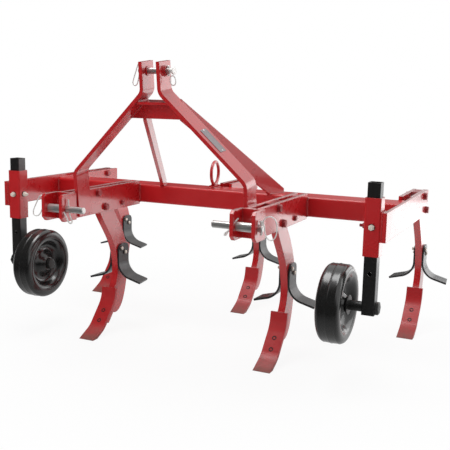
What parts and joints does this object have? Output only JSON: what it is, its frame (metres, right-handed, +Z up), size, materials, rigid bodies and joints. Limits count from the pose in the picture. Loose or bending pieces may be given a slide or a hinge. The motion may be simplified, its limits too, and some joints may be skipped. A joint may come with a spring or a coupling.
{
  "type": "subsoiler",
  "caption": "Red tractor-mounted subsoiler: cross beam, A-shaped mast, curved shanks with shares and side wings, and height-set gauge wheels at both ends.",
  "frame": {"origin": "on the floor, under the middle of the machine's bounding box", "axes": "+Z up, +Y to the rear, away from the tractor, +X across, along the beam"},
  "size_m": [1.5914, 1.0128, 0.985],
  "materials": {
    "red_powder": "satin powder coat",
    "black_paint": "satin",
    "gloss_black": "gloss",
    "forged_dark": "dark forged scale",
    "zinc_plate": "bright zinc plate"
  },
  "bodies": {
    "frame": {"beam": "red_powder", "cross_piece": "red_powder", "top_pin": "zinc_plate", "ring": "red_powder", "clevis_right": "red_powder", "clevis_left": "red_powder", "lower_pin_right": "zinc_plate", "lower_pin_left": "zinc_plate", "mast_bar_right": "red_powder", "mast_bar_left": "red_powder", "stay_right": "red_powder", "stay_left": "red_powder", "arm_right": "red_powder", "arm_left": "red_powder", "sleeve_right": "red_powder", "sleeve_left": "red_powder", "shank_front_right": "red_powder", "share_front_right": "red_powder", "wings_front_right": "forged_dark", "clamp_front_right": "red_powder", "shank_front_left": "red_powder", "share_front_left": "red_powder", "wings_front_left": "forged_dark", "clamp_front_left": "red_powder", "shank_rear_right": "red_powder", "share_rear_right": "red_powder", "wings_rear_right": "forged_dark", "clamp_rear_right": "red_powder", "shank_rear_centre": "red_powder", "share_rear_centre": "red_powder", "wings_rear_centre": "forged_dark", "clamp_rear_centre": "red_powder", "shank_rear_left": "red_powder", "share_rear_left": "red_powder", "wings_rear_left": "forged_dark", "clamp_rear_left": "red_powder", "lock_pins_right": "zinc_plate", "lock_pins_left": "zinc_plate", "lock_pins_top": "zinc_plate"},
    "leg_right": {"leg_right": "black_paint", "axle_right": "black_paint"},
    "wheel_right": {"wheel_right": "gloss_black"},
    "leg_left": {"leg_left": "black_paint", "axle_left": "black_paint"},
    "wheel_left": {"wheel_left": "gloss_black"}
  },
  "joints": [
    {"name": "depth_slide_right", "type": "slide", "parent": "frame", "child": "leg_right", "axis": [0, 0, 1], "range_m": [-0.09, 0.12]},
    {"name": "wheel_spin_right", "type": "hinge", "parent": "leg_right", "child": "wheel_right", "pos_m": [0.571, -0.27736, 0.251], "axis": [1, 0, 0], "continuous": true},
    {"name": "depth_slide_left", "type": "slide", "parent": "frame", "child": "leg_left", "axis": [0, 0, 1], "range_m": [-0.09, 0.12]},
    {"name": "wheel_spin_left", "type": "hinge", "parent": "leg_left", "child": "wheel_left", "pos_m": [-0.571, -0.27736, 0.251], "axis": [1, 0, 0], "continuous": true}
  ]
}
